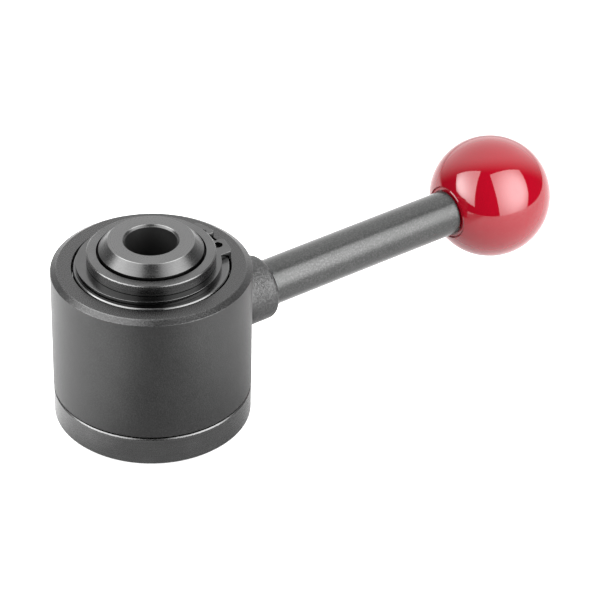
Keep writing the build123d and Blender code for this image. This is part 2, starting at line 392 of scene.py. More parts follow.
def turned_place(tree, place):
    """A vector of radius and height about the bore."""
    level = {0: place, 1: Vector((1, 1, 0))}
    flat = add_node(tree, "ShaderNodeVectorMath", level, operation="MULTIPLY").outputs[0]
    radius = add_node(tree, "ShaderNodeVectorMath", {0: flat}, operation="LENGTH")
    profile = {"X": radius.outputs["Value"], "Y": part_of(tree, place, "Z")}
    return add_node(tree, "ShaderNodeCombineXYZ", profile).outputs[0]


print("finishes are laid out in millimetres,", round(1 / MM), "to the metre")

# %% [markdown]
# The metals are mottled by noise at several sizes, down to the grain of the skin. A noise mostly
# stays between 0.3 and 0.7, and a mix of two between 0.35 and 0.65, so those ranges are stretched
# to reach the whole span from the darkest to the palest, or from the smoothest to the roughest.

# %% Noise, ranges and blends
noise_low = 0.3
noise_high = 0.7
mixed_low = 0.35
mixed_high = 0.65
step_width = 0.1


def grain(tree, vector, size, detail=2.0, roughness=0.55):
    """Noise whose spots are about that many millimetres across."""
    inputs = {"Vector": vector, "Scale": 1 / size, "Detail": detail, "Roughness": roughness}
    return add_node(tree, "ShaderNodeTexNoise", inputs).outputs[0]


def spread_between(tree, value, low, high, start=noise_low, end=noise_high):
    """Maps a value that runs from start to end onto low to high."""
    inputs = {"Value": value, "From Min": start, "From Max": end, "To Min": low, "To Max": high}
    return add_node(tree, "ShaderNodeMapRange", inputs).outputs[0]


def past(tree, value, start):
    """Nought up to that value, and one a tenth of a millimetre further on."""
    return spread_between(tree, value, 0.0, 1.0, start, start + step_width)


def blend_values(tree, factor, first, second):
    """A mix of two numbers, given as values or sockets."""
    return add_node(tree, "ShaderNodeMix", {0: factor, 2: first, 3: second}).outputs[0]


def blend_colours(tree, factor, first, second):
    """A mix of two colours, given as values or sockets."""
    inputs = {0: factor, 6: first, 7: second}
    return add_node(tree, "ShaderNodeMix", inputs, data_type="RGBA").outputs[2]


def grey(level, tint=(1.0, 1.0, 1.0)):
    """A grey with a slight tint, as a colour value."""
    return (level * tint[0], level * tint[1], level * tint[2], 1.0)


print("noise is read from", noise_low, "to", noise_high)

# %% [markdown]
# Worn edges are a band round each named corner of a profile, broken up by grain: handling rubs
# the black off there first. The same band in deep black is painted shade on the corners of the
# base. A raised surface turns any noise into small hills, which is cheaper than real ones and
# enough at this size. Every finish ends with its tone and roughness linked.

# %% Worn and shaded corners, raised grain and the end of a finish


def worn_and_shaded_corners(tree, profile_place, corners, reach, breakup):
    """One where the profile has a corner, falling to nought a little way off."""
    nearest = None
    for radius, height in corners:
        inputs = {0: profile_place, 1: Vector((radius, height, 0))}
        gap = add_node(tree, "ShaderNodeVectorMath", inputs, operation="DISTANCE")
        gap = gap.outputs["Value"]
        nearest = gap if nearest is None else calculate(tree, "MINIMUM", nearest, gap)
    band = spread_between(tree, nearest, 1.0, 0.0, 0.0, reach)
    mottled_part = spread_between(tree, breakup, 0.0, 1.0, mixed_low, mixed_high)
    return calculate(tree, "MULTIPLY", band, mottled_part)


def raise_surface(tree, shader, height, depth, before=None):
    """Feeds a height through a Bump node, depth being in millimetres."""
    inputs = {"Height": height, "Distance": depth * MM}
    if before is not None:
        inputs["Normal"] = before
    bump = add_node(tree, "ShaderNodeBump", inputs)
    tree.links.new(bump.outputs[0], shader.inputs["Normal"])
    return bump.outputs[0]


def end_finish(tree, shader, tone, rough, metal=1.0):
    """Links the tone and the roughness, and says how much of a metal it is."""
    tree.links.new(tone, shader.inputs["Base Color"])
    tree.links.new(rough, shader.inputs["Roughness"])
    shader.inputs["Metallic"].default_value = metal


print("helpers worn_and_shaded_corners, raise_surface and end_finish are ready")

# %% [markdown]
# The housing is cast, blasted and blackened: matt, a little open-grained, dark grey. Its top and
# its chamfer were turned, so they are smoother, and the chamfer is the darkest. The boss keeps
# the coarse skin of the casting. A material for each zone would need the faces split, so one
# material has masks instead: two on the height, and one on X that starts past the wall.

# %% Zones of the housing
chamfer_drop = 0.95
chamfer_width = 1.6
foot_edge = 0.2
cam_gap = 0.05
bare_steel = 0.25
housing_corners = [
    (housing_radius, housing_high.z - chamfer_drop),
    (housing_radius - chamfer_width, housing_high.z),
    (cam_high.x + cam_gap, housing_high.z),
    (housing_radius, housing_low.z + foot_edge),
    (housing_radius - foot_edge, housing_low.z),
]
edge_drop = 1.0
top_drop = 0.2
edge_from = housing_high.z - edge_drop
top_from = housing_high.z - top_drop
boss_from = 24.6
boss_full = 26.4

black_cast, tree, shader, place = start_finish("black_oxide_cast")
profile = turned_place(tree, place)
fine = grain(tree, place, 0.30, detail=3.0)
coarse = grain(tree, place, 0.65, detail=3.0, roughness=0.75)
cloud = grain(tree, place, 9.0)
out_on_boss = spread_between(tree, part_of(tree, place, "X"), 0.0, 1.0, boss_from, boss_full)
height = part_of(tree, place, "Z")
turned_edge = past(tree, height, edge_from)
turned_top = past(tree, height, top_from)
print("housing wall up to", round(edge_from, 2), "mm, top from", round(top_from, 2), "mm")

# %% [markdown]
# The tone is laid on as a painter would: the clouded wall first, then the turned faces, the
# glints of the boss, pale flecks of the open grain and last the worn corners. Every level is a
# share of the light that the metal gives back, and black oxide gives back very little.

# %% Tone of the housing
wall_dark = 0.033
wall_pale = 0.0445
chamfer_tone = 0.025
top_tone = 0.0395
glint_tone = 0.068
fleck_tone = 0.085
fleck_share = 0.35
worn_reach = 0.25
worn_share = 0.06

tone = blend_colours(tree, cloud, grey(wall_dark), grey(wall_pale))
tone = blend_colours(tree, turned_edge, tone, grey(chamfer_tone))
tone = blend_colours(tree, turned_top, tone, grey(top_tone))
glints = spread_between(tree, coarse, 0.0, 1.0, start=0.46, end=0.60)
glints = calculate(tree, "MULTIPLY", glints, out_on_boss)
tone = blend_colours(tree, glints, tone, grey(glint_tone))
flecks = spread_between(tree, fine, 0.0, fleck_share, start=0.4, end=0.75)
tone = blend_colours(tree, flecks, tone, grey(fleck_tone))
corner_mask = worn_and_shaded_corners(tree, profile, housing_corners, reach=worn_reach, breakup=fine)
corner_mask = calculate(tree, "MULTIPLY", corner_mask, worn_share)
tone = blend_colours(tree, corner_mask, tone, grey(bare_steel))
print("housing tone from", wall_dark, "to", wall_pale)

# %% [markdown]
# A turned face mirrors more sharply than a blasted one, and the skin of a casting is the
# coarsest, so each zone has its own range of roughness. The bump is there twice: fine over the
# whole piece, and deep and coarse on the boss, where light picks out single grains.

# %% Roughness and bump of the housing
wall_rough = (0.38, 0.50)
chamfer_rough = (0.19, 0.29)
top_rough = (0.22, 0.32)
boss_rough = (0.34, 0.50)
fine_depth = 0.040
boss_depth = 0.27

rough = spread_between(tree, fine, *wall_rough)
rough = blend_values(tree, turned_edge, rough, spread_between(tree, fine, *chamfer_rough))
rough = blend_values(tree, turned_top, rough, spread_between(tree, fine, *top_rough))
rough = blend_values(tree, out_on_boss, rough, spread_between(tree, coarse, *boss_rough))
end_finish(tree, shader, tone, rough)
raised_fine = raise_surface(tree, shader, fine, fine_depth)
boss_height = calculate(tree, "MULTIPLY", coarse, out_on_boss)
raise_surface(tree, shader, boss_height, boss_depth, raised_fine)
print(black_cast.name, len(tree.nodes), "nodes")

# %% [markdown]
# The base, sleeve, washer and draw bush are turned from bar and blackened, so they shine more
# than the housing and carry the fine rings of the tool: noise that changes only with radius and
# height. The face is metal with a dark colour, because the black oxide lets a little of the
# steel's own reflection through. Two extras are for the bush alone. Its flat top is painted
# paler, a painted sheen, and its bore is rougher than the rest and a little paler, as painted
# light, though it stays dark inside.

# %% Painted sheen on the top and a rough bore with painted light
top_sheen_tone = 0.098
bore_painted_light_tone = 0.050
bore_roughness = 0.50


def paint_top_sheen(tree, tone, place, rings, seat_from):
    """Makes the tone paler above a height, where a nut sits: a painted sheen on the top face."""
    # The paler top is a painted sheen.
    mottled_part = past(tree, part_of(tree, place, "Z"), seat_from)
    mottled_part = calculate(tree, "MULTIPLY", mottled_part, spread_between(tree, rings, 0.7, 1.0))
    return blend_colours(tree, mottled_part, tone, grey(top_sheen_tone))


def rough_bore_with_painted_light(tree, tone, rough, profile, bore_to):
    """Makes tone and roughness those of a bore, up to a radius: rougher, and paler as painted light.
    """
    radius = part_of(tree, profile, "X")
    in_bore = spread_between(tree, radius, 1.0, 0.0, bore_to, bore_to + step_width)
    # The paler tone in the bore is painted light.
    tone = blend_colours(tree, in_bore, tone, grey(bore_painted_light_tone))
    return tone, blend_values(tree, in_bore, rough, bore_roughness)


print("seat tone", top_sheen_tone, "and bore tone", bore_painted_light_tone)

# %% [markdown]
# One function makes the finish of every turned piece, because only a few numbers differ: how
# dark the steel is, how deep the tool marks are, and how the corners look. Handling leaves the
# corners of the washer and the bush bare and pale. The corners of the base are painted deep
# black instead: painted shade at the split under the housing, at the foot and round the rim.

# %% Finish of turned steel
cloud_dark = 0.85
cloud_pale = 1.15
streak_pale = 1.7
smoothest = 0.8
roughest = 1.25
corner_reach = 0.15
speck_depth = 0.002


def turned_steel(
    name,
    corners,
    level,
    roughness=0.22,
    lines=0.004,
    wear_and_shade_share=0.3,
    wear_and_shade_tone=bare_steel,
    seat_from=None,
    bore_to=None,
):
    """Blackened steel with tool rings, and corners in a tone of their own: pale wear, deep black
    painted shade.
    """
    material, tree, shader, place = start_finish(name)
    profile = turned_place(tree, place)
    rings = grain(tree, profile, 0.22, roughness=0.7)
    wide_rings = grain(tree, profile, 1.1, detail=1.0)
    speck = grain(tree, place, 0.35)
    cloud = grain(tree, place, 6.0)
    tone = blend_colours(tree, cloud, grey(level * cloud_dark), grey(level * cloud_pale))
    streaks = spread_between(tree, rings, 0.0, 0.5, start=0.4, end=0.7)
    streaks = calculate(tree, "MULTIPLY", streaks, cloud)
    tone = blend_colours(tree, streaks, tone, grey(level * streak_pale))
    # A paler top, where one is asked for, is a painted sheen.
    if seat_from:
        tone = paint_top_sheen(tree, tone, place, rings, seat_from)
    # The corner tone is pale wear where it is bare steel, and painted shade where it is deep black.
    corner_mask = worn_and_shaded_corners(tree, profile, corners, reach=corner_reach, breakup=speck)
    corner_mask = calculate(tree, "MULTIPLY", corner_mask, wear_and_shade_share)
    tone = blend_colours(tree, corner_mask, tone, grey(wear_and_shade_tone))
    mixed = calculate(tree, "MULTIPLY_ADD", rings, 0.5, calculate(tree, "MULTIPLY", speck, 0.5))
    low = roughness * smoothest
    high = roughness * roughest
    rough = spread_between(tree, mixed, low, high, mixed_low, mixed_high)
    # A bore, where one is asked for, is rougher and painted a little paler as painted light.
    if bore_to:
        tone, rough = rough_bore_with_painted_light(tree, tone, rough, profile, bore_to)
    end_finish(tree, shader, tone, rough)
    height = calculate(tree, "ADD", rings, calculate(tree, "MULTIPLY", wide_rings, 0.8))
    first = raise_surface(tree, shader, height, lines)
    raise_surface(tree, shader, speck, speck_depth, first)
    print(name, len(tree.nodes), "nodes")
    return material


# %% [markdown]
# The corners are given as radius and height, in from the box of each solid. A curvature mask
# could find them by itself, but it needs a dense mesh or a bake, and a short list of corners is
# exact and costs one distance each.

# %% Corners of the turned pieces
flange_top = 7.9
flange_edge = 0.3
foot_chamfer = 0.6
sleeve_inset = 3.60
sleeve_edge = 0.25
sleeve_play = 0.4
washer_edge = 0.3
cone_depth = 2.5
cone_width = 2.3
seat_inner = 7.05
bore_radius = 6.5
bore_chamfer = 0.55

base_corners = [
    (base_high.x, flange_top - flange_edge),
    (base_high.x - flange_edge, flange_top),
    (base_high.x, foot_chamfer),
    (base_high.x - foot_chamfer, 0.0),
    (washer_high.x - sleeve_inset + sleeve_edge, base_high.z - sleeve_edge),
    (washer_high.x - sleeve_inset, base_high.z),
    (bush_high.x + sleeve_play, base_high.z),
]
washer_corners = [
    (washer_high.x, washer_high.z - washer_edge),
    (washer_high.x - washer_edge, washer_high.z),
]
bush_corners = [
    (bush_high.x, bush_high.z - cone_depth),
    (bush_high.x - cone_width, bush_high.z),
    (seat_inner, bush_high.z),
    (bore_radius, bush_high.z - bore_chamfer),
]
print("corners", len(base_corners), "base,", len(washer_corners), "washer,", len(bush_corners), "bush")

# %% [markdown]
# The base is the palest of the three, the washer is the smoothest, and the bush is the darkest
# and roughest, so that the painted sheen on its top stands out. Each is one call with its own
# numbers.

# %% The turned pieces
seat_depth = 0.15
bore_margin = 0.05

# The deep black corners of the base are painted shade.
steel_base = turned_steel(
    "blackened_base_steel",
    base_corners,
    level=0.072,
    roughness=0.27,
    lines=0.009,
    wear_and_shade_share=1.0,
    wear_and_shade_tone=0.015,
)
steel_washer = turned_steel("blackened_washer_steel", washer_corners, level=0.065)
# The bush's paler top is a painted sheen, and the paler tone in its bore is painted light.
steel_bush = turned_steel(
    "blackened_bush_steel",
    bush_corners,
    level=0.040,
    roughness=0.29,
    lines=0.008,
    wear_and_shade_share=0.1,
    seat_from=bush_high.z - seat_depth,
    bore_to=bore_radius + bore_margin,
)

# %% [markdown]
# The retaining ring is stamped from spring steel and oiled. It has no tool rings, only a fine
# even skin, and it is a touch smoother than the turned faces beside it, so plain grain at one
# size does for its colour, its roughness and its bump.

# %% Finish of the retaining ring
ring_dark = 0.056
ring_pale = 0.070
ring_glint = 0.09
ring_rough = (0.15, 0.24)
skin_depth = 0.004

ring_steel, tree, shader, place = start_finish("oiled_spring_steel")
skin = grain(tree, place, 0.28, detail=3.0)
cloud = grain(tree, place, 3.0)
tone = blend_colours(tree, cloud, grey(ring_dark), grey(ring_pale))
glints = spread_between(tree, skin, 0.0, 0.4, start=0.45, end=0.75)
tone = blend_colours(tree, glints, tone, grey(ring_glint))
end_finish(tree, shader, tone, spread_between(tree, skin, *ring_rough))
raise_surface(tree, shader, skin, skin_depth)
print(ring_steel.name, len(tree.nodes), "nodes")

# %% [markdown]
# The rod is drawn bar with a satin black face, slightly green in the light, and it sparkles in
# its bright streak. Colour alone would speckle the dark sides as much, so most of the sparkle is
# bump: small tilts of the face each catch or miss the soft box. Noise that is stretched along
# the rod stands for the marks of drawing, and wider pits keep it from looking printed.

# %% Finish of the rod
rod_dark = grey(0.021, (0.97, 1.0, 0.97))
rod_pale = grey(0.029, (0.97, 1.0, 0.98))
rod_glint = grey(0.048)
rod_metal = 0.4
rod_index = 1.36
rod_rough = (0.09, 0.17)
sparkle_depth = 0.032
pit_depth = 0.012
draw_stretch = Vector((0.12, 1.0, 1.0))

rod_steel, tree, shader, place = start_finish("satin_black_rod")
sparkle = grain(tree, place, 0.42, detail=3.0, roughness=0.75)
pits = grain(tree, place, 0.9, detail=3.0, roughness=0.6)
drawn = add_node(tree, "ShaderNodeVectorMath", {0: place, 1: draw_stretch}, operation="MULTIPLY")
drawn_lines = grain(tree, drawn.outputs[0], 0.7)
cloud = grain(tree, place, 7.0)
tone = blend_colours(tree, cloud, rod_dark, rod_pale)
glints = spread_between(tree, sparkle, 0.0, 1.0, start=0.46, end=0.66)
tone = blend_colours(tree, glints, tone, rod_glint)
mixed = calculate(tree, "MULTIPLY_ADD", sparkle, 0.6, calculate(tree, "MULTIPLY", drawn_lines, 0.4))
rough = spread_between(tree, mixed, *rod_rough, mixed_low, mixed_high)
end_finish(tree, shader, tone, rough, rod_metal)
shader.inputs["IOR"].default_value = rod_index
first = raise_surface(tree, shader, sparkle, sparkle_depth)
raise_surface(tree, shader, pits, pit_depth, first)
print(rod_steel.name, len(tree.nodes), "nodes")

# %% [markdown]
# The ball is moulded plastic, polished to a wet gloss. Red light comes from inside it and the
# white of the room from its skin, which is what a Principled shader with low roughness gives.
# A faint slow wave in the skin bends the windows a little, as on a real moulding.

# %% Finish of the ball
red_deep = (0.125, 0.0004, 0.004, 1.0)
red_full = (0.140, 0.0006, 0.005, 1.0)
ball_index = 1.5
ball_rough = (0.03, 0.07)
ball_wave = 0.010

ball_red, tree, shader, place = start_finish("glossy_red_plastic")
cloud = grain(tree, place, 14.0, detail=1.0)
dust = grain(tree, place, 0.5)
rough = spread_between(tree, dust, *ball_rough, start=0.3, end=0.8)
end_finish(tree, shader, blend_colours(tree, cloud, red_deep, red_full), rough, metal=0.0)
shader.inputs["IOR"].default_value = ball_index
wave = grain(tree, place, 5.0, detail=0.0)
raise_surface(tree, shader, wave, ball_wave)
print(ball_red.name, len(tree.nodes), "nodes")

# %% [markdown]
# Inside are harder and yellower metals: a ground cam sleeve with its pins, a bronze thrust
# washer and the brass insert in the ball. They are rarely seen, but a loose part can be turned
# over or opened up, so each gets the same care with fewer nodes.

# %% Finishes of the inner metals
inner_roughest = 1.3


def inner_metal(name, dark, light, roughness):
    """Bare machined metal, with rings, mottling and a fine skin."""
    material, tree, shader, place = start_finish(name)
    profile = turned_place(tree, place)
    rings = grain(tree, profile, 0.4)
    skin = grain(tree, place, 0.3)
    cloud = grain(tree, place, 4.0)
    rough = spread_between(tree, skin, roughness * smoothest, roughness * inner_roughest)
    end_finish(tree, shader, blend_colours(tree, cloud, dark, light), rough)
    raise_surface(tree, shader, calculate(tree, "ADD", rings, skin), skin_depth)
    print(name, len(tree.nodes), "nodes")
    return material


ground_steel = inner_metal("ground_hard_steel", grey(0.42), grey(0.52), 0.28)
bronze = inner_metal("sintered_bronze", (0.50, 0.27, 0.11, 1), (0.60, 0.36, 0.17, 1), 0.42)
brass = inner_metal("knurled_brass", (0.66, 0.48, 0.19, 1), (0.76, 0.58, 0.26, 1), 0.30)

# %% [markdown]
# The solids arrive as loose triangles, which glint facet by facet. A new model of each could be
# lathed instead, but a merged copy keeps every slot and hole in place. Its flat faces have to
# stay flat once their corners are rounded, so each one first notes which way it looks. A face is
# flat where every neighbour lies level with it or turns sharply away.

# %% Note the flat faces
smooth_angle = radians(28)
flat_angle = radians(0.4)
print("corners over", round(degrees(smooth_angle)), "degrees are rounded")


def mark_flats(work):
    """Notes the way each truly flat face looks, before its corners are rounded."""
    way = work.faces.layers.float_vector.new("flat_way")
    for face in work.faces:
        leans = [edge.calc_face_angle(pi) for edge in face.edges]
        if all(lean < flat_angle or lean > smooth_angle for lean in leans):
            face[way] = face.normal


# %% [markdown]
# Smooth shading takes its light from the normals at the corners of each face. Here they are
# worked out instead of averaged: a flat face gets its own at every corner, and a face turned
# about the bore gets those of the true round surface, so it mirrors the studio without facets.
# The small roundings keep the normals that their modifier gives them.

# %% True normals for flat and turned faces
flat_spread = radians(1)
turned_spread = radians(6)
flat_limit = cos(flat_spread)
turned_limit = cos(turned_spread)
level_least = 0.05
depth_slack = 0.05
print("turned faces span at most", round(2 * degrees(turned_spread)), "degrees")


def turned_normals(face, mesh, rounding):
    """The normals at the corners of a face turned about the bore, or None on another face."""
    level_part = Vector((face.normal.x, face.normal.y, 0))
    steep = level_part.length
    if steep < level_least:
        return None
    spots = [mesh.vertices[index].co for index in face.vertices]
    outward = [Vector((spot.x, spot.y, 0)).normalized() for spot in spots]
    sense = 1 if level_part.dot(outward[0]) > 0 else -1
    narrow = all(level_part.normalized().dot(sense * way) > turned_limit for way in outward)
    depths = [spot.xy.length * sense * steep + spot.z * face.normal.z for spot in spots]
    heights = [spot.z * steep - spot.xy.length * sense * face.normal.z for spot in spots]
    wide = max(heights) - min(heights) > 2 * rounding * MM
    if narrow and wide and max(depths) - min(depths) < depth_slack * MM:
        return [sense * steep * way + Vector((0, 0, face.normal.z)) for way in outward]
    return None


def shade_as_turned(mesh, rounding):
    """Gives flat faces one normal, and faces turned about the bore those of the round surface."""
    normals = [corner.vector.copy() for corner in mesh.corner_normals]
    flat_ways = [item.vector.copy() for item in mesh.attributes["flat_way"].data]
    for face, flat_way in zip(mesh.polygons, flat_ways):
        if face.normal.dot(flat_way) > flat_limit:
            better = [face.normal.copy() for corner in face.vertices]
        else:
            better = turned_normals(face, mesh, rounding)
        for loop, normal in zip(face.loop_indices, better or []):
            normals[loop] = normal
    mesh.attributes.remove(mesh.attributes["flat_way"])
    mesh.normals_split_custom_set(normals)


# %% [markdown]
# Now the copy itself. It is welded into one skin, its flat faces are joined, and a Bevel gives
# every sharp corner a small rounding that catches the light, as a deburred edge does. Each piece
# then gets its material and the body that it moves with, and the solid it stands for is hidden.

# %% Merge, round and smooth a copy of a solid
weld_reach = 0.002


def dressed_copy(node, name, rounding):
    """A welded copy of a solid with rounded corners, in millimetres of rounding."""
    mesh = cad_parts[node].data.copy()
    work = bmesh.new()
    work.from_mesh(mesh)
    bmesh.ops.remove_doubles(work, verts=work.verts, dist=weld_reach * MM)
    bmesh.ops.dissolve_limit(
        work, angle_limit=flat_angle, verts=work.verts, edges=work.edges, delimit={"NORMAL"}
    )
    mark_flats(work)
    for face in work.faces:
        face.smooth = True
    work.to_mesh(mesh)
    work.free()
    mesh.materials.clear()
    piece = bpy.data.objects.new(name, mesh)
    scene.collection.objects.link(piece)
    edge = piece.modifiers.new("rounding", "BEVEL")
    edge.width = rounding * MM
    edge.segments = 2
    edge.limit_method = "ANGLE"
    edge.angle_limit = smooth_angle
    edge.harden_normals = True
    edge.use_clamp_overlap = True
    depsgraph = bpy.context.evaluated_depsgraph_get()
    ready = bpy.data.meshes.new_from_object(piece.evaluated_get(depsgraph))
    piece.modifiers.clear()
    shade_as_turned(ready, rounding)
    piece.data = ready
    print(name, len(ready.vertices), "points,", len(ready.polygons), "faces")
    return piece


def belongs(piece, body, slot, material, *nodes):
    """Finishes a piece: its material, its body and the solids it stands for, which are hidden. The
    slot is not used.
    """
    piece.data.materials.clear()
    piece.data.materials.append(material)
    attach(piece, body)
    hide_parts(*nodes)


# %% [markdown]
# Five solids are dressed this way. The roundings are in millimetres and follow the real edges:
# the stamped ring is the roundest, and the bush keeps nearly sharp turned corners. The housing
# rides the lever's body, because it turns with the lever, and the bush rides its own and lifts.

# %% Housing, base, washer, ring and bush
for node, name, rounding, body, slot, material in (
    ("housing", "clamp_housing", 0.06, "lever_housing", "housing", black_cast),
    ("base_sleeve", "flanged_base", 0.04, "base", "turned_steel", steel_base),
    ("support_washer", "ring_washer", 0.08, "base", "turned_steel", steel_washer),
    ("circlip", "retaining_ring", 0.10, "base", "ring_steel", ring_steel),
    ("draw_bush", "nut_seat_bush", 0.02, "bush", "turned_steel", steel_bush),
):
    belongs(dressed_copy(node, name, rounding), body, slot, material, node)
    print(name, "rides", body)

# %% [markdown]
# The ball, the rod and the insert are plain turned shapes about the lever, so they are lathed
# here from a profile: a list of points along the lever and out from it. A lathe in code is a
# loop over stations and a loop round the axis. Its points are shared, so the gloss is unbroken,
# and both ends close on the axis.

# %% A lathe about the lever
on_axis = 1e-6
print("a station within", on_axis, "mm of the axis is one point")


def lathe_ring(work, along, out, around):
    """The points of one station, or a single point where the profile meets the axis."""
    if out < on_axis:
        return [work.verts.new((along * MM, 0, lever_height * MM))]
    ring = []
    for step in range(around):
        angle = 2 * pi * step / around
        spot = (along, out * cos(angle), lever_height + out * sin(angle))
        ring.append(work.verts.new(Vector(spot) * MM))
    return ring


def lathe(name, profile, around, closed=False):
    """Turns (along, out) points in millimetres about the lever axis into a mesh object."""
    work = bmesh.new()
    rings = [lathe_ring(work, along, out, around) for along, out in profile]
    pairs = list(zip(rings, rings[1:]))
    if closed:
        pairs.append((rings[-1], rings[0]))
    for first, second in pairs:
        for step in range(around):
            following = (step + 1) % around
            corners = [first[step % len(first)], first[following % len(first)]]
            corners += [second[following % len(second)], second[step % len(second)]]
            work.faces.new(list(dict.fromkeys(corners)))
    bmesh.ops.recalc_face_normals(work, faces=work.faces)
    for face in work.faces:
        face.smooth = True
    mesh = bpy.data.meshes.new(name)
    work.to_mesh(mesh)
    work.free()
    piece = bpy.data.objects.new(name, mesh)
    scene.collection.objects.link(piece)
    return piece


# %% [markdown]
# Two helpers go with the lathe. Its profiles are mostly straight, and the ball's is an arc, so
# one helper lists the points of an arc. The other stops the smooth shading at corners, so that a
# shoulder or a rim is crisp.

# %% Arcs and sharp corners


def arc_points(centre, radius, start, end, steps):
    """Points on an arc about a centre, with the angles in radians."""
    spots = []
    for step in range(steps + 1):
        angle = start + (end - start) * step / steps
        spots.append((centre[0] + radius * cos(angle), centre[1] + radius * sin(angle)))
    return spots


def keep_corners_sharp(piece, angle=smooth_angle):
    """Marks the corners over that angle sharp, so that smooth shading stops there."""
    work = bmesh.new()
    work.from_mesh(piece.data)
    for edge in work.edges:
        edge.smooth = len(edge.link_faces) == 2 and edge.calc_face_angle() < angle
    work.to_mesh(piece.data)
    work.free()


print("corners over", round(degrees(smooth_angle)), "degrees stay sharp")

# %% [markdown]
# The ball is a sphere with one flat where the rod comes out, and it is hollow where the insert
# sits. The corner of the flat is slightly rounded, because a moulding has no knife edge, and
# that rounding gives the thin bright line round the rod. A shallow gap runs round the rod's end.

# %% Profile of the ball
ball_radius = (ball_high.y - ball_low.y) / 2
ball_centre = ball_high.x - ball_radius
rod_radius = (rod_high.y - rod_low.y) / 2
insert_radius = (insert_high.y - insert_low.y) / 2
insert_middle = (insert_low.x + insert_high.x) / 2
insert_groove = 0.6
gap_depth = 0.5
gap_inner = rod_radius - 0.35
gap_outer = rod_radius + 0.2
rim_groove = 0.30
rim_flat = 0.4
rim_lip = 0.12
rim_round = 0.05
ball_steps = 96
ball_around = 160

rim = sqrt(ball_radius ** 2 - (ball_centre - ball_low.x) ** 2)
rim_angle = pi - asin((rim + rim_round) / ball_radius)
ball_profile = [
    (ball_low.x, insert_radius),
    (ball_low.x, gap_inner),
    (ball_low.x + gap_depth, gap_inner),
    (ball_low.x + gap_depth, gap_outer),
    (ball_low.x, gap_outer),
    (ball_low.x, rim - rim_flat),
    (ball_low.x + rim_groove, rim - rim_lip),
]
ball_profile += arc_points((ball_centre, 0), ball_radius, rim_angle, 0, ball_steps)
ball_profile[-1] = (ball_high.x, 0)
hollow_profile = [
    (insert_high.x, 0),
    (insert_high.x, insert_radius),
    (insert_middle + insert_groove, insert_radius),
    (insert_middle, insert_radius - insert_groove),
    (insert_middle - insert_groove, insert_radius),
    (ball_low.x, insert_radius),
]
print("ball radius", round(ball_radius, 2), "mm, flat", round(rim * 2, 2), "mm across")

# %% [markdown]
# Skin and hollow are lathed apart and then welded where they meet, round the mouth of the
# hollow. One closed shell has a true inside, which a boolean would also give, but with a rougher
# mesh at the join.

# %% Ball knob
join_reach = 0.001

ball = lathe("red_ball_knob", ball_profile, ball_around)
hollow = lathe("ball_hollow", hollow_profile, ball_around)
shell = bmesh.new()
shell.from_mesh(ball.data)
shell.from_mesh(hollow.data)
bmesh.ops.remove_doubles(shell, verts=shell.verts, dist=join_reach * MM)
bmesh.ops.recalc_face_normals(shell, faces=shell.faces)
shell.to_mesh(ball.data)
shell.free()
bpy.data.objects.remove(hollow)
keep_corners_sharp(ball)
belongs(ball, "lever_housing", "ball_red", ball_red, "ball_knob")
print("ball", len(ball.data.polygons), "faces")

# %% [markdown]
# Screw threads and knurls follow one rule: the surface falls in by a triangle wave that runs
# round and along the piece. A thread is one wave a turn that advances by its pitch, and a
# straight knurl is many waves a turn that do not advance. Geometry Nodes state that rule once,
# on a lathed blank, with an input for each size. Cutting them with booleans would be slower,
# and modelling a helix by hand would fix its pitch for good.

# %% Depth of the wave
full_depth = 2.0


def wave_depth(tree, given, along, side, rise):
    """How far the surface falls in at a place, fading out towards both ends of the cut."""
    turns = calculate(tree, "DIVIDE", calculate(tree, "ARCTAN2", rise, side), 2 * pi)
    from_start = calculate(tree, "SUBTRACT", along, given["Start"])
    to_end = calculate(tree, "SUBTRACT", given["End"], along)
    waves = calculate(tree, "MULTIPLY", turns, given["Waves Around"])
    advance = calculate(tree, "DIVIDE", from_start, given["Lead"])
    wave = calculate(tree, "PINGPONG", calculate(tree, "SUBTRACT", waves, advance), 0.5)
    inputs = {
        "Value": calculate(tree, "MINIMUM", from_start, to_end),
        "From Min": 0.0,
        "From Max": given["Runout"],
        "To Min": 0.0,
        "To Max": full_depth,
    }
    fade = add_node(tree, "ShaderNodeMapRange", inputs).outputs[0]
    return calculate(tree, "MULTIPLY", calculate(tree, "MULTIPLY", wave, fade), given["Depth"])


print("the wave is scaled by", full_depth, "to reach full depth")

# %% [markdown]
# The tree moves each point of the blank towards the lever's axis by that depth. Points near the
# axis stay, because the end faces have no thread. It ends in Realize Instances and Set Material,
# so that what comes out is plain faces with their finish on.

# %% Node tree that cuts a thread or a knurl
core_share = 3.0
least_reach = 1e-6


